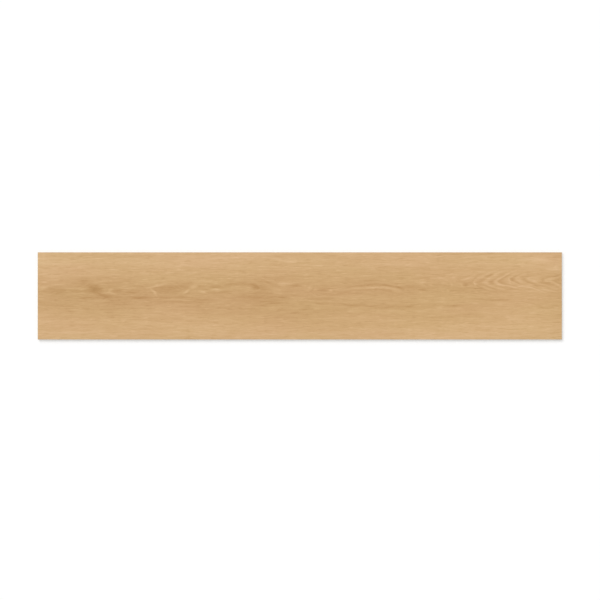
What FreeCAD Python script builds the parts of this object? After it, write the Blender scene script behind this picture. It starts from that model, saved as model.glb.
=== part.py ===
import FreeCAD, Part
import math
import os
import Sketcher

# A wood look porcelain plank tile: one pressed and fired body, 1200 x 200 x 9 mm.
# +X runs along the plank, +Y across it and +Z up, out of the printed face.
# The origin is the middle of the back, on the plane of the rib tops that the tile beds on.

NODE = "plank_tile"

SIZES = (
    ("tile_length", 1200.0, "mm along X, ground to size after firing"),
    ("tile_width", 200.0, "mm along Y, ground to size after firing"),
    ("tile_thickness", 9.0, "mm overall, from the rib tops of the back to the printed face"),
    ("arris_width", 0.6, "mm, the 45 degree ground edge round the printed face"),
    ("cell_length", 41.0, "mm along X, mouth of one pressed recess of the back"),
    ("cell_width", 26.0, "mm along Y, mouth of one pressed recess of the back"),
    ("cell_corner_cut", 3.0, "mm along X and along Y, 45 degree cut at a recess corner"),
    ("rib_width", 4.0, "mm, rib between two recesses, which bears on the adhesive"),
    ("border_least", 8.0, "mm, narrowest plain border between the recesses and the tile's edge"),
    ("relief_depth", 0.6, "mm, depth of a recess below the rib tops"),
    ("relief_draft", 35.0, "degrees, slope of a recess wall, so that the pressing leaves the die"),
)

# As many recesses as the borders leave room for, and the span between the outer ones' middles.
DERIVED = (
    ("cells_along", "=floor((tile_length - 2 * border_least + rib_width) / (cell_length + rib_width))"),
    ("cells_across", "=floor((tile_width - 2 * border_least + rib_width) / (cell_width + rib_width))"),
    ("field_length", "=(cells_along - 1) * (cell_length + rib_width)"),
    ("field_width", "=(cells_across - 1) * (cell_width + rib_width)"),
)

VOLUME_TOLERANCE = 0.001  # share of the volume that a feature takes away
LENGTH_TOLERANCE = 0.0001  # mm


def add_sheet(doc):
    """One row for each driving dimension, then the counts and spans that follow from them."""
    sheet = doc.addObject("Spreadsheet::Sheet", "Dimensions")
    rows = [(name, str(value), meaning) for name, value, meaning in SIZES]
    rows += [(name, formula, "follows from the rows above") for name, formula in DERIVED]
    for row, (name, content, meaning) in enumerate(rows, start=1):
        sheet.set(f"A{row}", name)
        sheet.set(f"B{row}", content)
        sheet.set(f"C{row}", meaning)
        sheet.setAlias(f"B{row}", name)
    doc.recompute()
    return sheet


def origin_feature(body, role):
    """The body's own base plane or axis with this role, such as XY_Plane or X_Axis."""
    return next(item for item in body.Origin.OriginFeatures if item.Role == role)


def add_sketch(body, name):
    """An empty sketch on the plane that the tile beds on."""
    sketch = body.newObject("Sketcher::SketchObject", name)
    sketch.AttachmentSupport = [(origin_feature(body, "XY_Plane"), "")]
    sketch.MapMode = "FlatFace"
    return sketch


def add_dimension(sketch, constraint, name, cell):
    """A named dimension of the sketch that follows a cell of the sheet."""
    index = sketch.addConstraint(constraint)
    sketch.renameConstraint(index, name)
    sketch.setExpression(f"Constraints.{name}", f"Dimensions.{cell}")


def draw_closed_lines(sketch, corners):
    """One line from each corner to the next, joined end to end."""
    for start, end in zip(corners, corners[1:] + corners[:1]):
        sketch.addGeometry(Part.LineSegment(start, end), False)
    for line in range(len(corners)):
        following = (line + 1) % len(corners)
        sketch.addConstraint(Sketcher.Constraint("Coincident", line, 2, following, 1))


def draw_rectangle(sketch, half_x, half_y):
    """Four lines, square to the axes and symmetric about the sketch's origin."""
    corners = [
        FreeCAD.Vector(-half_x, -half_y, 0),
        FreeCAD.Vector(half_x, -half_y, 0),
        FreeCAD.Vector(half_x, half_y, 0),
        FreeCAD.Vector(-half_x, half_y, 0),
    ]
    draw_closed_lines(sketch, corners)
    for line in (0, 2):
        sketch.addConstraint(Sketcher.Constraint("Horizontal", line))
    for line in (1, 3):
        sketch.addConstraint(Sketcher.Constraint("Vertical", line))
    sketch.addConstraint(Sketcher.Constraint("Symmetric", 0, 1, 1, 2, -1, 1))


def draw_cut_rectangle(sketch, half_x, half_y, cut):
    """Sides as lines 0, 2, 4 and 6 and corner cuts between them, mirrored about both axes."""
    corners = [
        FreeCAD.Vector(cut - half_x, -half_y, 0),
        FreeCAD.Vector(half_x - cut, -half_y, 0),
        FreeCAD.Vector(half_x, cut - half_y, 0),
        FreeCAD.Vector(half_x, half_y - cut, 0),
        FreeCAD.Vector(half_x - cut, half_y, 0),
        FreeCAD.Vector(cut - half_x, half_y, 0),
        FreeCAD.Vector(-half_x, half_y - cut, 0),
        FreeCAD.Vector(-half_x, cut - half_y, 0),
    ]
    draw_closed_lines(sketch, corners)
    x_axis = -1
    y_axis = -2
    for line, axis in ((0, y_axis), (2, x_axis), (4, y_axis), (6, x_axis)):
        sketch.addConstraint(Sketcher.Constraint("Symmetric", line, 1, line, 2, axis))
    for line, axis in ((0, x_axis), (2, y_axis)):
        sketch.addConstraint(Sketcher.Constraint("Symmetric", line, 1, line + 4, 2, axis))


def add_blank(doc, body, sheet):
    """The pressed and fired blank, ground square on its four sides."""
    sketch = add_sketch(body, "GroundOutline")
    draw_rectangle(sketch, sheet.tile_length / 2, sheet.tile_width / 2)
    length = Sketcher.Constraint("DistanceX", 0, 1, 0, 2, sheet.tile_length)
    add_dimension(sketch, length, "Length", "tile_length")
    width = Sketcher.Constraint("DistanceY", 1, 1, 1, 2, sheet.tile_width)
    add_dimension(sketch, width, "Width", "tile_width")
    blank = body.newObject("PartDesign::Pad", "FiredBlank")
    blank.Profile = sketch
    blank.setExpression("Length", "Dimensions.tile_thickness")
    doc.recompute()
    return blank


def add_arris(doc, body, blank):
    """The 45 degree arris that grinding leaves along the four edges of the printed face."""
    top = blank.Shape.BoundBox.ZMax - Part.Precision.confusion()
    face_edges = [
        f"Edge{number}"
        for number, edge in enumerate(blank.Shape.Edges, start=1)
        if edge.BoundBox.ZMin > top
    ]
    arris = body.newObject("PartDesign::Chamfer", "GroundArris")
    arris.Base = (blank, face_edges)
    arris.setExpression("Size", "Dimensions.arris_width")
    doc.recompute()
    return arris


def add_recess(doc, body, sheet):
    """The first recess of the back, nearest the -X, -Y corner, with its walls drawn in."""
    sketch = add_sketch(body, "RecessMouth")
    sketch.setExpression("AttachmentOffset.Base.x", "-Dimensions.field_length / 2")
    sketch.setExpression("AttachmentOffset.Base.y", "-Dimensions.field_width / 2")
    draw_cut_rectangle(sketch, sheet.cell_length / 2, sheet.cell_width / 2, sheet.cell_corner_cut)
    length = Sketcher.Constraint("DistanceX", 6, 1, 2, 1, sheet.cell_length)
    add_dimension(sketch, length, "Length", "cell_length")
    width = Sketcher.Constraint("DistanceY", 0, 1, 4, 1, sheet.cell_width)
    add_dimension(sketch, width, "Width", "cell_width")
    cut_along = Sketcher.Constraint("DistanceX", 1, 1, 1, 2, sheet.cell_corner_cut)
    add_dimension(sketch, cut_along, "CutAlong", "cell_corner_cut")
    cut_across = Sketcher.Constraint("DistanceY", 1, 1, 1, 2, sheet.cell_corner_cut)
    add_dimension(sketch, cut_across, "CutAcross", "cell_corner_cut")
    recess = body.newObject("PartDesign::Pocket", "Recess")
    recess.Profile = sketch
    recess.Reversed = True
    recess.setExpression("Length", "Dimensions.relief_depth")
    recess.setExpression("TaperAngle", "-Dimensions.relief_draft")
    doc.recompute()
    return recess


def add_recess_field(doc, body, recess):
    """The grid of recesses, centred on the back, which leaves the ribs standing between them."""
    field = body.newObject("PartDesign::LinearPattern", "RecessField")
    field.Originals = [recess]
    field.Direction = (origin_feature(body, "X_Axis"), [""])
    field.setExpression("Length", "Dimensions.field_length")
    field.setExpression("Occurrences", "Dimensions.cells_along")
    field.Direction2 = (origin_feature(body, "Y_Axis"), [""])
    field.setExpression("Length2", "Dimensions.field_width")
    field.setExpression("Occurrences2", "Dimensions.cells_across")
    body.Tip = field
    doc.recompute()
    return field


def arris_volume(sheet):
    """What the arris takes off the blank's rectangular top, mitres counted once."""
    width = sheet.arris_width
    return width**2 * (sheet.tile_length + sheet.tile_width) - 4 / 3 * width**3


def recess_volume(sheet):
    """One recess by Simpson's rule, exact here because its area is a quadratic in the depth."""

    def area(depth):
        inset = depth * math.tan(math.radians(sheet.relief_draft))
        cut = sheet.cell_corner_cut - (2 - math.sqrt(2)) * inset
        rectangle = (sheet.cell_length - 2 * inset) * (sheet.cell_width - 2 * inset)
        return rectangle - 2 * cut**2

    depth = sheet.relief_depth
    return depth / 6 * (area(0) + 4 * area(depth / 2) + area(depth))


def check_states(doc):
    """Stops at a sketch or feature that failed, or whose shape isn't sound."""
    for item in doc.Objects:
        if {"Invalid", "Error"} & set(item.State):
            raise RuntimeError(f"{item.Name} is {item.State}")
        if item.isDerivedFrom("PartDesign::Feature"):
            if item.Shape.isNull() or not item.Shape.isValid():
                raise RuntimeError(f"{item.Name} has no valid shape")


def check_removed(name, before, after, expected):
    """Stops where a feature didn't take away the volume that its dimensions give."""
    removed = before.Volume - after.Volume
    if abs(removed - expected) > VOLUME_TOLERANCE * expected:
        raise RuntimeError(f"{name} takes away {removed:.3f} mm3, not {expected:.3f} mm3")


def check_tile(sheet, blank, arris, field):
    """Stops unless the tile is one solid of the size and volume that the sheet gives."""
    tile = field.Shape
    if len(tile.Solids) != 1:
        raise RuntimeError(f"the tile is {len(tile.Solids)} solids, not one")
    box = tile.BoundBox
    spans = (box.XLength, box.YLength, box.ZLength)
    wanted = (sheet.tile_length, sheet.tile_width, sheet.tile_thickness)
    for span, size in zip(spans, wanted):
        if abs(span - size) > LENGTH_TOLERANCE:
            raise RuntimeError(f"the tile spans {spans}, not {wanted}")
    check_removed(arris.Name, blank.Shape, arris.Shape, arris_volume(sheet))
    recesses = sheet.cells_along * sheet.cells_across
    check_removed(field.Name, arris.Shape, tile, recesses * recess_volume(sheet))


doc = FreeCAD.newDocument("PlankTile")
sheet = add_sheet(doc)
body = doc.addObject("PartDesign::Body", "PlankTile")
body.Label = NODE
blank = add_blank(doc, body, sheet)
arris = add_arris(doc, body, blank)
recess = add_recess(doc, body, sheet)
field = add_recess_field(doc, body, recess)
check_states(doc)
check_tile(sheet, blank, arris, field)
os.makedirs("parts", exist_ok=True)
field.Shape.exportStep(f"parts/{NODE}.step")
print(f"{NODE}: {field.Shape.Volume:.0f} mm3, {len(field.Shape.Faces)} faces")
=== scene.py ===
import math

import bpy
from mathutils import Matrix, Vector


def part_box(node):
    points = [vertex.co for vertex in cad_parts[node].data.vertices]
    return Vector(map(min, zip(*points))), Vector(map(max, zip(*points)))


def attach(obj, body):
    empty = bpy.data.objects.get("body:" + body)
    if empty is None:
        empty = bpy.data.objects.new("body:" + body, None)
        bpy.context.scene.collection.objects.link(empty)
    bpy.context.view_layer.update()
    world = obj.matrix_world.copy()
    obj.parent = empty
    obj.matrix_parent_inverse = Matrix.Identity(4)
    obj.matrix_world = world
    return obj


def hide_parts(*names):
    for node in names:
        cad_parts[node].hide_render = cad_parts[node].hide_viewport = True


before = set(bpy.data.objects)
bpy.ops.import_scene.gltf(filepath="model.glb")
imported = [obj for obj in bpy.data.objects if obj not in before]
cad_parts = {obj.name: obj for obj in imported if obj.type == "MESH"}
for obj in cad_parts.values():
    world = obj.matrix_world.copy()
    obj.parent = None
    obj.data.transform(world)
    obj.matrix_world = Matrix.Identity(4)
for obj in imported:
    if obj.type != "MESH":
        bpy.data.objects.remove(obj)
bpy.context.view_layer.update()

# The plank's body
# One pressed and fired porcelain blank, 9 mm thick. Its back carries the die's grid of shallow
# recesses, its four sides are ground square, and the face's edges get a fine 45 degree arris.
MM = 0.001
RECESS_LENGTH = 41 * MM
RECESS_WIDTH = 26 * MM
RECESS_DEPTH = 0.6 * MM
RECESS_DRAFT = math.radians(35)
CORNER_CUT = 3 * MM
RIB_WIDTH = 4 * MM
BORDER_LEAST = 8 * MM
ARRIS_WIDTH = 0.6 * MM
RECESS_ROUNDING = 0.15 * MM
EDGE_ROUNDING = 0.1 * MM
ROUNDING_STEPS = 2
SMOOTH_UNDER = math.radians(25)
CLOSE = 0.02 * MM
lowest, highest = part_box("plank_tile")
length, width, thickness = highest - lowest
half_length = length / 2
half_width = width / 2
back = lowest.z
face = highest.z
pitch_along = RECESS_LENGTH + RIB_WIDTH
pitch_across = RECESS_WIDTH + RIB_WIDTH
cells_along = int((length - 2 * BORDER_LEAST + RIB_WIDTH) / pitch_along)
cells_across = int((width - 2 * BORDER_LEAST + RIB_WIDTH) / pitch_across)


def select(obj, kind, wanted):
    """In edit mode, selects only the edges or faces whose corners wanted() accepts."""
    bpy.ops.mesh.select_mode(type=kind)
    bpy.ops.mesh.select_all(action="DESELECT")
    bpy.ops.object.mode_set(mode="OBJECT")
    mesh = obj.data
    for part in mesh.edges if kind == "EDGE" else mesh.polygons:
        part.select = wanted([mesh.vertices[index].co for index in part.vertices])
    bpy.ops.object.mode_set(mode="EDIT")


def on_level(corners, level):
    return all(abs(corner.z - level) < CLOSE for corner in corners)


def inside(corners, half_x, half_y):
    return all(abs(c.x) < half_x + CLOSE and abs(c.y) < half_y + CLOSE for c in corners)


def outside(corners, half_x, half_y):
    return all(abs(c.x) > half_x - CLOSE or abs(c.y) > half_y - CLOSE for c in corners)


# One cell of the back: its share of the ribs, round a recess with cut corners and drafted walls.
bpy.ops.object.select_all(action="DESELECT")
bpy.ops.mesh.primitive_plane_add(size=1)
plank = bpy.context.object
plank.name = "plank"
bpy.ops.object.mode_set(mode="EDIT")
bpy.ops.transform.resize(value=(pitch_along, pitch_across, 1))
bpy.ops.transform.translate(value=(0, 0, back))
bpy.ops.mesh.flip_normals()
bpy.ops.mesh.inset(thickness=RIB_WIDTH / 2)
bpy.ops.mesh.bevel(offset=CORNER_CUT, affect="VERTICES")
MOUTH_CORNERS = 8
select(plank, "FACE", lambda corners: len(corners) == MOUTH_CORNERS)
bpy.ops.mesh.inset(thickness=RECESS_DEPTH * math.tan(RECESS_DRAFT), depth=-RECESS_DEPTH)
select(
    plank,
    "EDGE",
    lambda corners: on_level(corners, back + RECESS_DEPTH)
    or on_level(corners, back) and inside(corners, RECESS_LENGTH / 2, RECESS_WIDTH / 2),
)
bpy.ops.mesh.bevel(offset=RECESS_ROUNDING, segments=ROUNDING_STEPS)
bpy.ops.mesh.select_all(action="SELECT")
first_cell = ((1 - cells_along) / 2 * pitch_along, (1 - cells_across) / 2 * pitch_across, 0)
bpy.ops.transform.translate(value=first_cell)
bpy.ops.object.mode_set(mode="OBJECT")
for count, step in ((cells_along, (pitch_along, 0, 0)), (cells_across, (0, pitch_across, 0))):
    cells = plank.modifiers.new("cells", "ARRAY")
    cells.count = count
    cells.use_relative_offset = False
    cells.use_constant_offset = True
    cells.constant_offset_displace = step
    cells.use_merge_vertices = True
    cells.merge_threshold = CLOSE
    bpy.ops.object.modifier_apply(modifier=cells.name)

# Out to the border, up the ground sides and in along the arris.
half_face = (half_length - ARRIS_WIDTH, half_width - ARRIS_WIDTH)
stages = (
    (length / (cells_along * pitch_along), width / (cells_across * pitch_across), 0),
    (1, 1, thickness - ARRIS_WIDTH),
    (2 * half_face[0] / length, 2 * half_face[1] / width, ARRIS_WIDTH),
)
bpy.ops.object.mode_set(mode="EDIT")
bpy.ops.mesh.select_mode(type="EDGE")
bpy.ops.mesh.select_all(action="DESELECT")
bpy.ops.mesh.select_non_manifold()
for grow_x, grow_y, rise in stages:
    bpy.ops.mesh.extrude_region_move(TRANSFORM_OT_translate={"value": (0, 0, rise)})
    bpy.ops.transform.resize(value=(grow_x, grow_y, 1), center_override=(0, 0, 0))
# The face is laid over between its two long edges, the only ones that lie at half its width.
select(
    plank,
    "EDGE",
    lambda corners: on_level(corners, face) and outside(corners, length, half_face[1]),
)
bpy.ops.mesh.bridge_edge_loops(number_cuts=cells_across - 1, interpolation="LINEAR")
bpy.ops.mesh.select_all(action="SELECT")
bpy.ops.mesh.remove_doubles(threshold=CLOSE)
for level, half_x, half_y in ((face, *half_face), (face - ARRIS_WIDTH, half_length, half_width)):
    select(
        plank,
        "EDGE",
        lambda corners: on_level(corners, level) and outside(corners, half_x, half_y),
    )
    bpy.ops.mesh.bevel(offset=EDGE_ROUNDING, segments=ROUNDING_STEPS)
bpy.ops.mesh.select_all(action="SELECT")
bpy.ops.mesh.normals_make_consistent(inside=False)
bpy.ops.object.mode_set(mode="OBJECT")
bpy.ops.object.shade_smooth_by_angle(angle=SMOOTH_UNDER)

# The printed face
# Ceramic inks jetted on and fired under a matte glaze, after a flat-sawn oak board: growth rings cut
# at a slant into arches, soft heartwood patches, pores as short dashes and pale flecks between them.


def linear(hex_code):
    """An sRGB hex colour as the linear values that a shader works in."""
    channels = [int(hex_code[start : start + 2], 16) / 255 for start in (1, 3, 5)]
    return [c / 12.92 if c <= 0.04045 else ((c + 0.055) / 1.055) ** 2.4 for c in channels] + [1]


def set_inputs(node, inputs):
    """Gives each of these inputs of a node a value, or another node's output."""
    for key, value in inputs.items():
        if isinstance(value, bpy.types.Node):
            value = next(output for output in value.outputs if output.enabled)
        if isinstance(value, bpy.types.NodeSocket):
            node.id_data.links.new(value, node.inputs[key])
        else:
            node.inputs[key].default_value = value


def add_node(tree, kind, inputs, **settings):
    """Adds a shader node with its settings and inputs."""
    made = tree.nodes.new("ShaderNode" + kind)
    for name, value in settings.items():
        setattr(made, name, value)
    set_inputs(made, inputs)
    return made


def start_material(name):
    """A new material, its node tree, its shader and the place on the plank in millimetres."""
    material = bpy.data.materials.new(name)
    material.use_nodes = True
    tree = material.node_tree
    coordinates = add_node(tree, "TexCoord", {})
    metres = coordinates.outputs["Object"]
    place = add_node(tree, "VectorMath", {0: metres, "Scale": 1 / MM}, operation="SCALE")
    return material, tree, tree.nodes["Principled BSDF"], place


def draw_curve(node, points, first, last, full):
    """Draws a Float Curve through points whose places go from first to last and values to full."""
    curve = node.mapping.curves[0]
    while len(curve.points) < len(points):
        curve.points.new(0.5, 0.5)
    for point, (place, value) in zip(curve.points, points):
        point.location = ((place - first) / (last - first), value / full)
    node.mapping.update()


def set_stops(node, stops):
    """Gives a Color Ramp its stops, each a place and a colour."""
    elements = node.color_ramp.elements
    while len(elements) < len(stops):
        elements.new(1)
    for element, (place, hex_code) in zip(elements, stops):
        element.position = place
        element.color = linear(hex_code)


# The print's patterns are stretched this far through the plank, so that they hardly change down the arris.
THROUGH = 100


def draw_marks(vector, marks, total):
    """Adds marks, soft ellipses laid out in this vector's millimetres, to a running total."""
    for x_mm, y_mm, mark_length, mark_width, turn, shade in marks:
        placed = add_node(
            vector.id_data,
            "Mapping",
            {
                "Vector": vector,
                "Location": (x_mm, y_mm, 0),
                "Rotation": (0, 0, math.radians(turn)),
                "Scale": (mark_length / 2, mark_width / 2, THROUGH),
            },
            vector_type="TEXTURE",
        )
        soft = add_node(vector.id_data, "TexGradient", {"Vector": placed}, gradient_type="SPHERICAL")
        total = add_node(
            vector.id_data,
            "Math",
            {0: soft.outputs["Fac"], 1: shade, 2: total},
            operation="MULTIPLY_ADD",
        )
    return total


printed, tree, shader, place = start_material("oak_print_under_matte_glaze")
# The print is laid out in millimetres from the plank's middle, out to its ends and its sides.
print_end = round(half_length / MM)
print_side = round(half_width / MM)

# The fibres ripple finely, and over a hand's length they sway too. For each: a bend's length and width,
# and how far it shifts the print across the plank, which is half as far as along it.
RIPPLE = (34, 9, 1.6)
SWAY = (180, 40, 5)
flows = [place]
for along, across, shift in (RIPPLE, SWAY):
    stretched = add_node(
        tree, "Mapping", {"Vector": place, "Scale": (along, across, THROUGH)}, vector_type="TEXTURE"
    )
    noise = add_node(tree, "TexNoise", {"Vector": stretched, "Scale": 1, "Detail": 1}, normalize=False)
    flow = add_node(
        tree,
        "VectorMath",
        {0: noise.outputs["Color"], 1: (2 * shift, shift, 0), 2: flows[-1]},
        operation="MULTIPLY_ADD",
    )
    flows.append(flow)
rippled, swayed = flows[1:]
axes = add_node(tree, "SeparateXYZ", {"Vector": swayed})
along_plank = axes.outputs["X"]
across_plank = axes.outputs["Y"]

# Where the middle of the figure runs along the plank, and how deep below the cut its rings turn: a place
# along the plank, and the size there. The curves hold shares of DEEPEST.
FIGURE_MIDDLE = (
    (-600, 13), (-540, 14), (-470, 13), (-400, 8), (-300, 14), (-200, 12), (-130, 20), (-80, 15),
    (0, 13), (45, 13), (100, 12), (165, 18), (240, 10), (290, 18), (375, 29), (430, 31), (465, 33),
    (500, 38), (525, 38), (555, 34), (600, 32),
)
TURN_DEPTH = (
    (-600, 24), (-555, 20.5), (-515, 24), (-470, 20), (-425, 24.5), (-375, 21.5), (-340, 25),
    (-297, 19.5), (-240, 26), (-187, 22.5), (-125, 20), (-60, 25.5), (0, 27), (45, 22), (95, 25.5),
    (165, 24), (250, 29), (320, 35), (379, 40.5), (409, 37.8), (436, 35.1), (460, 32.4), (488, 29.7),
    (512, 27), (550, 24.3), (590, 21.6), (600, 20.5),
)
DEEPEST = 60
share_along = add_node(
    tree, "MapRange", {"Value": along_plank, "From Min": -print_end, "From Max": print_end}
)
middle = add_node(tree, "FloatCurve", {"Value": share_along})
draw_curve(middle, FIGURE_MIDDLE, -print_end, print_end, DEEPEST)
depth = add_node(tree, "FloatCurve", {"Value": share_along})
draw_curve(depth, TURN_DEPTH, -print_end, print_end, DEEPEST)
off_middle = add_node(tree, "Math", {0: middle, 1: -DEEPEST, 2: across_plank}, operation="MULTIPLY_ADD")

# The rings crossed on the way off the middle: few near it, where the cut is flat, and far from it about
# one every 3 mm. Below the cut the rings are RING apart. The curve holds shares of MOST_RINGS.
RINGS_CROSSED = (
    (-100, 27), (-60, 12.5), (-40, 6), (-32, 4.1), (-26, 3), (-17, 1.85), (-8.6, 0.85), (-3.5, 0.22),
    (0, 0), (4, 0.18), (9, 0.56), (14, 0.98), (20, 1.55), (26, 2.3), (30, 3), (36, 4.3),
    (60, 12), (100, 26),
)
FURTHEST_OFF = 100
MOST_RINGS = 30
RING = 2.7
share_off = add_node(
    tree, "MapRange", {"Value": off_middle, "From Min": -FURTHEST_OFF, "From Max": FURTHEST_OFF}
)
crossed = add_node(tree, "FloatCurve", {"Value": share_off})
draw_curve(crossed, RINGS_CROSSED, -FURTHEST_OFF, FURTHEST_OFF, MOST_RINGS)
crossed = add_node(tree, "Math", {0: crossed, 1: MOST_RINGS}, operation="MULTIPLY")
rings = add_node(tree, "Math", {0: depth, 1: DEEPEST / RING, 2: crossed}, operation="MULTIPLY_ADD")

# Across one ring: early wood, a dark line of pores, and late wood, a pale line beside it. The lines move
# the tone by half of RING_CONTRAST either way.
RING_TONE = ((0, 0.1), (0.13, 0.02), (0.3, 0.5), (0.45, 0.95), (0.62, 0.9), (0.85, 0.4), (1, 0.1))
RING_CONTRAST = 0.3
ring_share = add_node(tree, "Math", {0: rings}, operation="FRACT")
ring_line = add_node(tree, "FloatCurve", {"Value": ring_share})
draw_curve(ring_line, RING_TONE, 0, 1, 1)
ring_line = add_node(
    tree, "Math", {0: ring_line, 1: RING_CONTRAST, 2: -RING_CONTRAST / 2}, operation="MULTIPLY_ADD"
)

# The lines show near the middle, most of all in the arches on the right, and fade in and out.
SHOWN_OFF_MIDDLE = (
    (-100, 0.1), (-42, 0.1), (-28, 0.22), (-18, 0.55), (-8, 0.9), (0, 1), (10, 0.95), (18, 0.6),
    (26, 0.3), (34, 0.1), (100, 0.1),
)
SHOWN_ALONG = (
    (-600, 0.25), (-400, 0.25), (-300, 0.25), (-200, 0.3), (-60, 0.35), (45, 0.2), (120, 0.2),
    (300, 0.15), (355, 0.2), (379, 0.8), (420, 1), (540, 1), (600, 0.8),
)
FADING_LENGTH = 60
FADING = {"From Min": 0.38, "From Max": 0.62, "To Min": 0.1, "To Max": 1}
near = add_node(tree, "FloatCurve", {"Value": share_off})
draw_curve(near, SHOWN_OFF_MIDDLE, -FURTHEST_OFF, FURTHEST_OFF, 1)
arches = add_node(tree, "FloatCurve", {"Value": share_along})
draw_curve(arches, SHOWN_ALONG, -print_end, print_end, 1)
along_fading = add_node(tree, "Math", {0: along_plank, 1: FADING_LENGTH}, operation="DIVIDE")
along_ring = add_node(tree, "CombineXYZ", {"X": along_fading, "Y": rings})
fading = add_node(tree, "TexNoise", {"Vector": along_ring, "Scale": 1, "Detail": 1})
fading = add_node(tree, "MapRange", {"Value": fading, **FADING})
# The last arches have short upper arms, so over them the lines are taken back, by a mark like those below.
TAKEN_BACK = ((540, 64, 180, 44, 0, -1.6),)
LEAST_LEFT = 0.05
remaining = draw_marks(rippled, TAKEN_BACK, 1)
remaining = add_node(tree, "Math", {0: remaining, 1: LEAST_LEFT}, operation="MAXIMUM")
shown = near
for share in (arches, fading, remaining):
    shown = add_node(tree, "Math", {0: shown, 1: share}, operation="MULTIPLY")

# The tone across the plank, 0 the darkest ink and 1 the palest: sapwood at both sides of darker heartwood.
TONE_ACROSS = (
    (-100, 0.82), (-90, 0.81), (-70, 0.76), (-55, 0.735), (-40, 0.695), (-28, 0.675), (-18, 0.66),
    (0, 0.65), (20, 0.65), (30, 0.675), (40, 0.695), (47, 0.73), (60, 0.75), (72, 0.785), (90, 0.765),
    (100, 0.755),
)
share_across = add_node(
    tree, "MapRange", {"Value": across_plank, "From Min": -print_side, "From Max": print_side}
)
tone = add_node(tree, "FloatCurve", {"Value": share_across})
draw_curve(tone, TONE_ACROSS, -print_side, print_side, 1)
tone = add_node(tree, "Math", {0: ring_line, 1: shown, 2: tone}, operation="MULTIPLY_ADD")

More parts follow.
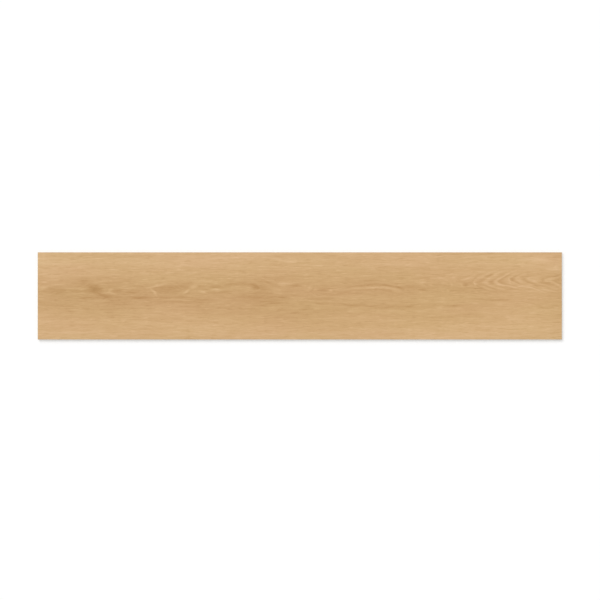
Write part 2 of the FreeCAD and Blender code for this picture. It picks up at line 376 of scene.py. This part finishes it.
# Heartwood patches and dashes, dark or pale: middle x and y, length and width in mm, turn in degrees
# and how far each one moves the tone, times MARK_STRENGTH.
MARKS = (
    # Broad patches over the whole plank.
    (-480, 5, 440, 110, 0, -0.055),
    (0, -45, 420, 110, 0, -0.06),
    (490, -40, 400, 150, 0, 0.06),
    (-480, 90, 280, 40, 0, -0.05),
    (-30, 55, 520, 70, 0, -0.035),
    (340, -85, 280, 40, 0, 0.06),
    (75, 84, 460, 44, 0, -0.045),
    (-220, 12, 520, 64, 0, -0.03),
    (310, -60, 340, 36, 0, -0.035),
    (100, -80, 280, 26, 0, 0.02),
    (-225, 66, 220, 34, 0, 0.03),
    (-540, 42, 150, 50, 0, 0.03),
    (-400, 42, 110, 40, 0, -0.035),
    (-430, -44, 120, 28, 0, -0.035),
    (-50, 26, 170, 40, 0, -0.03),
    (265, 58, 320, 46, 0, -0.03),
    (375, -33, 230, 36, 0, -0.03),
    (275, -79, 60, 24, 0, 0.03),
    # The left end.
    (-585, 32, 22, 10, 0, 0.09),
    (-585, 20, 22, 12, 0, 0.07),
    (-557, 26, 60, 6, 6, 0.08),
    (-566, 12, 36, 32, 0, -0.09),
    (-548, 12, 36, 34, 0, -0.09),
    (-508, 17, 66, 6, 0, 0.09),
    (-512, 12, 66, 6, 0, -0.09),
    (-505, 6, 70, 6, 0, 0.09),
    (-500, -2, 80, 6, 0, -0.07),
    (-494, 30, 56, 28, 0, -0.09),
    (-558, -22, 110, 8, -3, -0.08),
    # The darkest patch, with its tail to the right and the lines round it.
    (-471, 15, 52, 30, 0, -0.22),
    (-449, 1, 52, 14, -16, -0.18),
    (-440, 30, 70, 6, 0, -0.10),
    (-450, 36, 60, 5, 0, 0.07),
    (-444, 41, 50, 5, 0, -0.06),
    (-434, 13, 30, 8, 30, 0.10),
    (-430, 6, 30, 8, -22, 0.11),
    (-418, 11, 36, 13, 0, -0.12),
    (-420, -5, 70, 14, 0, -0.06),
    (-470, -5, 60, 6, 0, -0.09),
    (-466, -12, 55, 6, 0, 0.09),
    (-418, -20, 46, 6, 0, -0.07),
    (-432, -31, 26, 6, 0, -0.06),
    (-381, 9, 46, 11, 0, -0.10),
    (-375, 2, 60, 5, 0, 0.07),
    (-371, -4.5, 72, 9, 0, -0.17),
    (-387, -9, 26, 5, 0, 0.07),
    # The lens: pale strokes at both its ends, a dark middle, and long lines under it.
    (-326, 23, 66, 7, 9, 0.24),
    (-334, 9, 26, 9, -46, 0.21),
    (-308, 14, 70, 32, 0, -0.08),
    (-283, 14, 70, 32, 0, -0.08),
    (-270, 28, 60, 20, 0, -0.09),
    (-260, 10, 26, 9, 30, 0.21),
    (-243, 20, 26, 13, 14, 0.15),
    (-295, -4, 120, 6, 0, -0.14),
    (-285, -9, 90, 5, 0, 0.13),
    (-285, -13, 90, 5, 0, -0.12),
    (-280, -20, 70, 6, 0, 0.06),
    (-238, -13, 90, 20, 0, -0.10),
    (-220, -28, 55, 24, 0, -0.05),
    # Flecks and lines right of the lens.
    (-221, 8, 20, 10, 0, 0.07),
    (-216, 33, 38, 7, 0, 0.09),
    (-206, 40, 34, 5, 0, -0.06),
    (-190, 21.5, 44, 8, 0, -0.13),
    (-191, 14, 40, 7, 0, 0.19),
    (-185, 8.5, 84, 9, 3, -0.11),
    (-136, 28, 95, 9, 0, -0.10),
    # A small dark patch, and what lies between it and the plank's middle.
    (-97, 19.5, 50, 12, -8, -0.17),
    (-108, 13, 44, 5, 0, 0.06),
    (-88, 4, 130, 60, 0, -0.05),
    (-100, -4, 140, 28, 0, -0.06),
    (-64, -17, 50, 8, 8, -0.07),
    (-48, 13, 42, 26, 0, 0.11),
    (-30, 28.5, 46, 9, 0, 0.19),
    (-41, 28.5, 24, 7, 0, 0.08),
    (-9, 23, 42, 8, 0, -0.17),
    (-39, -3, 26, 10, 0, -0.08),
    (-42, -50, 70, 26, 0, -0.04),
    # From the plank's middle to the end of the bow, which has marks of its own.
    (14, -49, 46, 20, 0, -0.05),
    (24, 70.5, 90, 5, 0, 0.09),
    (40, 26.5, 50, 6, 0, 0.09),
    (23, 18, 14, 8, 0, 0.09),
    (28, 14, 20, 6, 50, -0.08),
    (44, 12, 34, 26, 0, -0.07),
    (58, 12, 30, 28, 0, -0.08),
    (72, 12.5, 16, 9, 0, 0.12),
    (48, -6, 90, 7, 0, -0.14),
    (44, -17.5, 55, 7, 0, -0.07),
    (124, -21, 84, 7, 0, -0.13),
    (126, -33, 44, 18, 0, 0.09),
    (113, -46, 46, 6, 0, -0.09),
    (235, -26, 200, 18, 0, -0.07),
    (194, -39, 90, 6, 0, 0.09),
    (215, -46, 96, 6, 0, -0.05),
    (149, 46, 34, 6, 0, 0.07),
    (233, 41, 32, 6, 0, -0.12),
    # Between the bow and the arches.
    (255, 20, 60, 14, 0, -0.06),
    (282, 30, 22, 24, 0, 0.10),
    (283, 41, 36, 6, 0, -0.10),
    (285, 13, 40, 6, -6, -0.10),
    (288, 26, 16, 6, -15, -0.08),
    (283, -12, 40, 12, 0, 0.06),
    (301, 25, 10, 10, 0, 0.07),
    (275, 85, 90, 8, 0, 0.06),
    (320, 41, 22, 8, 0, 0.08),
    (340, 12, 9, 10, 0, 0.10),
    (347, 26, 10, 11, 0, 0.12),
    (354, 33, 10, 8, 0, 0.09),
    (352, 42, 16, 7, 0, 0.08),
    (369, 25, 8, 9, 0, 0.10),
    (364, 37, 30, 6, -20, -0.09),
    # In the arches.
    (379, 26, 17, 13, 0, -0.17),
    (400, 29, 7, 20, 0, 0.11),
    (408, 29, 12, 10, 0, -0.08),
    (425, 31, 18, 12, 0, 0.06),
    (438, 32, 22, 8, 0, -0.04),
    (430, 46, 26, 6, 14, -0.11),
    (462, 45, 22, 6, 24, -0.08),
    (480, 36, 8, 20, 0, 0.12),
    (488, 36, 9, 10, 0, -0.12),
    (503, 36, 14, 10, 0, 0.04),
    (516, 37, 18, 9, 0, -0.08),
    (543, 35, 30, 11, 0, 0.12),
    (556, 37, 12, 16, 0, -0.07),
    (570, 27, 32, 11, -10, -0.10),
    (535, 26, 54, 7, -24, -0.11),
    (530, 19, 70, 6, -22, 0.07),
    (560, 14, 50, 6, -6, 0.06),
    (450, 10, 50, 6, -5, -0.07),
    (485, 17, 50, 6, -14, -0.06),
    (412, 17, 46, 6, -6, -0.08),
    (396, 11, 16, 6, 0, -0.08),
    # Lines beside the arches, and the pale right end.
    (440, -9, 170, 9, -2, -0.11),
    (352, -23, 84, 8, 0, -0.11),
    (395, -41, 70, 6, 0, -0.08),
    (480, -17, 130, 6, 0, 0.06),
    (330, -14, 60, 5, 0, 0.07),
    (332, 51, 80, 7, 8, -0.08),
    (590, 48, 34, 9, 12, -0.07),
    (585, 60, 60, 20, 0, 0.09),
    (550, 83, 110, 16, 0, 0.13),
    (540, 15, 260, 70, 0, 0.07),
)
MARK_STRENGTH = 1.3
# One long ring line right of the middle rises and falls like a bow, with a pale line under it. Its marks
# are laid out straight, and bent by BOW_BEND times the square of the way from the bow's middle.
BOW_MIDDLE = 172
BOW_BEND = 0.0015
BOW_MARKS = (
    (165, 25.5, 160, 6.5, 0, -0.17),
    (208, 25.5, 60, 7, 0, -0.10),
    (229, 23, 24, 11, -24, -0.16),
    (170, 20, 150, 6.5, 0, 0.14),
    (216, 18, 44, 8, -8, 0.13),
    (115, 16, 90, 9, 0, -0.10),
    (165, 14, 110, 7, 0, -0.10),
    (207, 11.5, 56, 7, -4, -0.09),
    (170, 35, 110, 6, 0, -0.05),
)
axes = add_node(tree, "SeparateXYZ", {"Vector": rippled})
off_bow = add_node(tree, "Math", {0: axes.outputs["X"], 1: BOW_MIDDLE}, operation="SUBTRACT")
drop = add_node(tree, "Math", {0: off_bow, 1: off_bow}, operation="MULTIPLY")
drop = add_node(tree, "Math", {0: drop, 1: BOW_BEND}, operation="MULTIPLY")
drop = add_node(tree, "CombineXYZ", {"Y": drop})
bowed = add_node(tree, "VectorMath", {0: rippled, 1: drop}, operation="ADD")
marks = draw_marks(bowed, BOW_MARKS, draw_marks(rippled, MARKS, 0))
tone = add_node(tree, "Math", {0: marks, 1: MARK_STRENGTH, 2: tone}, operation="MULTIPLY_ADD")

# Streaks of the fibre, from long soft ones to fine ones: length, width and how far each moves the tone.
STREAKS = ((260, 13, 0.06), (90, 5, 0.048), (34, 2.5, 0.07))
fibres = 0
for along, across, shade in STREAKS:
    stretched = add_node(
        tree, "Mapping", {"Vector": swayed, "Scale": (along, across, THROUGH)}, vector_type="TEXTURE"
    )
    streak = add_node(tree, "TexNoise", {"Vector": stretched, "Scale": 1, "Detail": 2}, normalize=False)
    fibres = add_node(tree, "Math", {0: streak, 1: shade, 2: fibres}, operation="MULTIPLY_ADD")

# Pores as dark dashes, single and in bundles, and pale flecks: length, width, the noise at which one
# starts and at which it is full, and how far it moves the tone. A real pore is 0.2 mm wide, too fine to
# show, so a single one is drawn about 1 mm wide.
DASHES = (
    (12, 0.9, 0.58, 0.66, -0.11),
    (30, 2.4, 0.57, 0.68, -0.12),
    (26, 2.4, 0.57, 0.68, 0.11),
)
NOISE_APART = 1000
for number, (along, across, start, full, shade) in enumerate(DASHES):
    stretched = add_node(
        tree,
        "Mapping",
        {
            "Vector": rippled,
            "Location": (0, 0, NOISE_APART * number),
            "Scale": (along, across, THROUGH),
        },
        vector_type="TEXTURE",
    )
    dash = add_node(tree, "TexNoise", {"Vector": stretched, "Scale": 1, "Detail": 2})
    dash = add_node(tree, "MapRange", {"Value": dash, "From Min": start, "From Max": full})
    fibres = add_node(tree, "Math", {0: dash, 1: shade, 2: fibres}, operation="MULTIPLY_ADD")
tone = add_node(tree, "Math", {0: tone, 1: fibres}, operation="ADD")

# The inks by tone. The board's colour also drifts a little between pink and olive.
INK = ((0, "#966B2F"), (0.40, "#B58A55"), (0.716, "#CAA370"), (1, "#DDB88A"))
DRIFT_SIZE = (210, 55, THROUGH)
HUE_DRIFT = {"From Min": 0.3, "From Max": 0.7, "To Min": 0.4975, "To Max": 0.5025}
ink = add_node(tree, "ValToRGB", {"Fac": tone})
set_stops(ink, INK)
stretched = add_node(tree, "Mapping", {"Vector": swayed, "Scale": DRIFT_SIZE}, vector_type="TEXTURE")
drift = add_node(tree, "TexNoise", {"Vector": stretched, "Scale": 1, "Detail": 1})
drift = add_node(tree, "MapRange", {"Value": drift, **HUE_DRIFT})
ink = add_node(tree, "HueSaturation", {"Color": ink, "Hue": drift})

# The glaze is matte, a little rougher in the dark early wood. It sinks hundredths of a millimetre in the
# pores, and its skin has a faint peel about 2 mm wide.
GLAZE_IOR = 1.5
GLAZE_ROUGHNESS = {"From Min": 0.5, "From Max": 0.85, "To Min": 0.6, "To Max": 0.46}
GRAIN_RELIEF = 0.12 * MM
PEEL = {"Scale": 0.5, "Detail": 2}
PEEL_RELIEF = 0.02 * MM
roughness = add_node(tree, "MapRange", {"Value": tone, **GLAZE_ROUGHNESS})
grain = add_node(tree, "Bump", {"Height": fibres, "Distance": GRAIN_RELIEF})
peel = add_node(tree, "TexNoise", {"Vector": place, **PEEL})
peel = add_node(tree, "Bump", {"Height": peel, "Distance": PEEL_RELIEF, "Normal": grain})
set_inputs(shader, {"Base Color": ink, "Roughness": roughness, "IOR": GLAZE_IOR, "Normal": peel})

# The ground edges
# Bare porcelain body, ground with diamond wheels along each side after firing: fine lines run along
# it, and the top shows the layers that were fired on, white engobe and then the inked glaze.
ground, tree, shader, place = start_material("ground_porcelain_edge")
height = add_node(tree, "SeparateXYZ", {"Vector": place})

# The press powder's granules, about 0.5 mm across, show as a speckle.
GRANULES = {"Scale": 2.2, "Detail": 2}
SPECKLE = ((0.28, "#AC9D86"), (0.42, "#C6B9A3"), (0.6, "#CDC1AC"), (0.75, "#DED5C4"))
granules = add_node(tree, "TexNoise", {"Vector": place, **GRANULES})
body = add_node(tree, "ValToRGB", {"Fac": granules})
set_stops(body, SPECKLE)

# The wheels' lines. Real ones are finer than these, which are drawn 0.5 mm high to show.
LINE_SIZE = (70, 70, 0.5)
LINE_TONE = {"From Min": 0.3, "From Max": 0.7, "To Min": 0.93, "To Max": 1.05}
lines = add_node(tree, "Mapping", {"Vector": place, "Scale": LINE_SIZE}, vector_type="TEXTURE")
lines = add_node(tree, "TexNoise", {"Vector": lines, "Scale": 1, "Detail": 2})
line_tone = add_node(tree, "MapRange", {"Value": lines, **LINE_TONE})
body = add_node(tree, "HueSaturation", {"Color": body, "Value": line_tone})

# The fired-on layers, each from its height above the back in mm. Their lower limits waver by less than a
# tenth of a millimetre. A Mix node's colour sockets are given by their order, because its other sockets
# have the same names.
ENGOBE = (8.45, "#E6DFD0")
GLAZE = (8.8, "#BE9A6B")
LAYER_BLUR = 0.04
WAVER = {"Scale": 0.15, "Detail": 2}
WAVER_HEIGHT = 0.08
MIX_UNDER = 6
MIX_OVER = 7
waver = add_node(tree, "TexNoise", {"Vector": place, **WAVER}, normalize=False)
level = add_node(
    tree, "Math", {0: waver, 1: WAVER_HEIGHT, 2: height.outputs["Z"]}, operation="MULTIPLY_ADD"
)
surface = body
for start, hex_code in (ENGOBE, GLAZE):
    limits = {"From Min": start - LAYER_BLUR, "From Max": start + LAYER_BLUR}
    above = add_node(tree, "MapRange", {"Value": level, **limits})
    layers = {"Factor": above, MIX_UNDER: surface, MIX_OVER: linear(hex_code)}
    surface = add_node(tree, "Mix", layers, data_type="RGBA")

BODY_IOR = 1.5
EDGE_ROUGHNESS = {"To Min": 0.5, "To Max": 0.72}
LINE_RELIEF = 0.06 * MM
roughness = add_node(tree, "MapRange", {"Value": lines, **EDGE_ROUGHNESS})
lines = add_node(tree, "Bump", {"Height": lines, "Distance": LINE_RELIEF})
set_inputs(shader, {"Base Color": surface, "Roughness": roughness, "IOR": BODY_IOR, "Normal": lines})

# The back
# The fired body as it left the press and the kiln: sandy and dull, with a thin white wash rolled on
# the ribs that keeps them from sticking, worn through in places.
fired, tree, shader, place = start_material("fired_porcelain_back")
height = add_node(tree, "SeparateXYZ", {"Vector": place})

# The sand has grains of about 0.8 mm, drawn coarser than real ones to show, and clouds of about 80 mm
# shade it.
SAND = {"Scale": 1.3, "Detail": 3}
CLOUDS = {"Scale": 0.012, "Detail": 3}
CLOUD_SHARE = 0.5
FIRED_BODY = ((0.5, "#B0A089"), (0.75, "#C0B29B"), (1, "#CEC2AD"))
sand = add_node(tree, "TexNoise", {"Vector": place, **SAND})
clouds = add_node(tree, "TexNoise", {"Vector": place, **CLOUDS})
mottle = add_node(tree, "Math", {0: clouds, 1: CLOUD_SHARE, 2: sand}, operation="MULTIPLY_ADD")
body = add_node(tree, "ValToRGB", {"Fac": mottle})
set_stops(body, FIRED_BODY)

# The wash lies on the ribs and thins out in the first quarter of a millimetre into a recess.
WASH = "#E8E3D9"
WASH_BY_HEIGHT = {"From Min": 0.1, "From Max": 0.25, "To Min": 1, "To Max": 0.12}
WEAR = {"Scale": 0.08, "Detail": 4, "Roughness": 0.65}
WASH_LEFT = {"From Min": 0.36, "From Max": 0.56, "To Min": 0.1, "To Max": 0.65}
on_rib = add_node(tree, "MapRange", {"Value": height.outputs["Z"], **WASH_BY_HEIGHT})
wash = add_node(tree, "TexNoise", {"Vector": place, **WEAR})
wash = add_node(tree, "MapRange", {"Value": wash, **WASH_LEFT})
wash = add_node(tree, "Math", {0: wash, 1: on_rib}, operation="MULTIPLY")
layers = {"Factor": wash, MIX_UNDER: body, MIX_OVER: linear(WASH)}
surface = add_node(tree, "Mix", layers, data_type="RGBA")

BACK_ROUGHNESS = {"To Min": 0.72, "To Max": 0.9}
SAND_RELIEF = 0.15 * MM
roughness = add_node(tree, "MapRange", {"Value": wash, **BACK_ROUGHNESS})
sand = add_node(tree, "Bump", {"Height": sand, "Distance": SAND_RELIEF})
set_inputs(shader, {"Base Color": surface, "Roughness": roughness, "IOR": BODY_IOR, "Normal": sand})

# What looks up is printed, what looks down is as fired, and the sides and the arris are ground.
UPWARD = 0.9
DOWNWARD = -0.1
FACE_FINISH = 0
EDGE_FINISH = 1
BACK_FINISH = 2
for material in (printed, ground, fired):
    plank.data.materials.append(material)
for polygon in plank.data.polygons:
    if polygon.normal.z > UPWARD:
        polygon.material_index = FACE_FINISH
    elif polygon.normal.z > DOWNWARD:
        polygon.material_index = EDGE_FINISH
    else:
        polygon.material_index = BACK_FINISH

# The plank's flat map
# For its colours baked into one square picture: the face in two halves, one over the other, then the
# back, the two long sides, and the ends side by side. Thin sides are drawn taller.
MAP_PIXELS = 1024
MAP_GAP = 4
HALF_FACE_ROW = 337
BACK_ROW = 169
SIDE_ROW = 51
rows = []
foot = MAP_GAP
for row_height in (HALF_FACE_ROW, HALF_FACE_ROW, BACK_ROW, SIDE_ROW, SIDE_ROW, SIDE_ROW):
    rows.append((foot, foot + row_height))
    foot += row_height + MAP_GAP
left_face, right_face, whole_back, front_side, rear_side, both_ends = rows
whole_row = (MAP_GAP, MAP_PIXELS - MAP_GAP)
left_of_row = (MAP_GAP, (MAP_PIXELS - MAP_GAP) / 2)
right_of_row = ((MAP_PIXELS + MAP_GAP) / 2, MAP_PIXELS - MAP_GAP)
up_width = (1, -half_width, half_width)
up_thickness = (2, back, face)


def choose_place(polygon):
    """Its axis and limits across the map, the same up it, its pixels across and its row."""
    if polygon.material_index == FACE_FINISH and polygon.center.x < 0:
        return (0, -half_length, 0), up_width, whole_row, left_face
    if polygon.material_index == FACE_FINISH:
        return (0, 0, half_length), up_width, whole_row, right_face
    if polygon.material_index == BACK_FINISH:
        return (0, half_length, -half_length), up_width, whole_row, whole_back
    if abs(polygon.normal.y) > abs(polygon.normal.x):
        side = front_side if polygon.normal.y < 0 else rear_side
        toward = math.copysign(half_length, polygon.normal.y)
        return (0, toward, -toward), up_thickness, whole_row, side
    end_pixels = left_of_row if polygon.normal.x < 0 else right_of_row
    toward = math.copysign(half_width, polygon.normal.x)
    return (1, -toward, toward), up_thickness, end_pixels, both_ends


flat_map = plank.data.uv_layers[0]
flat_map.name = "OFBake"
for polygon in plank.data.polygons:
    across_map, up_map, pixels_across, pixels_up = choose_place(polygon)
    for loop in polygon.loop_indices:
        corner = plank.data.vertices[plank.data.loops[loop].vertex_index].co
        spot = []
        for (axis, start, end), (first, last) in ((across_map, pixels_across), (up_map, pixels_up)):
            share = (corner[axis] - start) / (end - start)
            spot.append((first + share * (last - first)) / MAP_PIXELS)
        flat_map.data[loop].uv = spot
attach(plank, "root")
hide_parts("plank_tile")

# The floor, the light and the camera
# A plain white floor that keeps a faint soft shadow, an even sky and one broad lamp. On a level face
# the sky gives SKY_SHARE of the light and the lamp the rest.
WHITE = (1, 1, 1, 1)
FLOOR_SIZE = 12
FLOOR_COLOUR = "#E7E7E7"
FLOOR_RISE = 0.22
SKY_SHARE = 0.6
LAMP_TILT = math.radians(35)
LAMP_TURN = math.radians(40)
LAMP_SPREAD = math.radians(40)


def lift_background(tree, strength, rise):
    """A strength that rises where the camera or a reflection sees the background, and lights as before."""
    rays = add_node(tree, "LightPath", {})
    seen = rays.outputs["Is Camera Ray"]
    for kind in ("Is Glossy Ray", "Is Transmission Ray"):
        seen = add_node(tree, "Math", {0: seen, 1: rays.outputs[kind]}, operation="MAXIMUM")
    return add_node(tree, "Math", {0: seen, 1: rise, 2: strength}, operation="MULTIPLY_ADD")


bpy.ops.object.select_all(action="DESELECT")
bpy.ops.mesh.primitive_plane_add(size=FLOOR_SIZE)
floor = bpy.context.object
floor.name = "floor"
paint = bpy.data.materials.new("matt_white_floor")
paint.use_nodes = True
set_inputs(
    paint.node_tree.nodes["Principled BSDF"],
    {
        "Base Color": linear(FLOOR_COLOUR),
        "Specular IOR Level": 0,
        "Emission Color": WHITE,
        "Emission Strength": lift_background(paint.node_tree, 0, FLOOR_RISE),
    },
)
floor.data.materials.append(paint)

sky = bpy.data.worlds.new("even_sky")
sky.use_nodes = True
strength = lift_background(sky.node_tree, SKY_SHARE, 1 - SKY_SHARE)
set_inputs(sky.node_tree.nodes["Background"], {"Color": WHITE, "Strength": strength})
bpy.context.scene.world = sky
bpy.ops.object.light_add(type="SUN", rotation=(-LAMP_TILT, 0, LAMP_TURN))
lamp = bpy.context.object
lamp.data.angle = LAMP_SPREAD
lamp.data.energy = (1 - SKY_SHARE) * math.pi / math.cos(LAMP_TILT)

# Straight down from above, as far back as gives the plank the photograph's margins left and right.
PHOTO_SIZE = 600
PHOTO_LEFT = 37.6
PHOTO_RIGHT = 562.0
PHOTO_MIDDLE_Y = 295.9
LENS = 100
SENSOR = 36
view_width = length * PHOTO_SIZE / (PHOTO_RIGHT - PHOTO_LEFT)
pixel = view_width / PHOTO_SIZE
bpy.ops.object.camera_add(
    location=(
        (PHOTO_SIZE - PHOTO_LEFT - PHOTO_RIGHT) / 2 * pixel,
        (PHOTO_MIDDLE_Y - PHOTO_SIZE / 2) * pixel,
        face + view_width * LENS / SENSOR,
    ),
    rotation=(0, 0, 0),
)
camera = bpy.context.object
camera.data.lens = LENS
camera.data.sensor_width = SENSOR
bpy.context.scene.camera = camera
bpy.context.scene.view_settings.view_transform = "Standard"
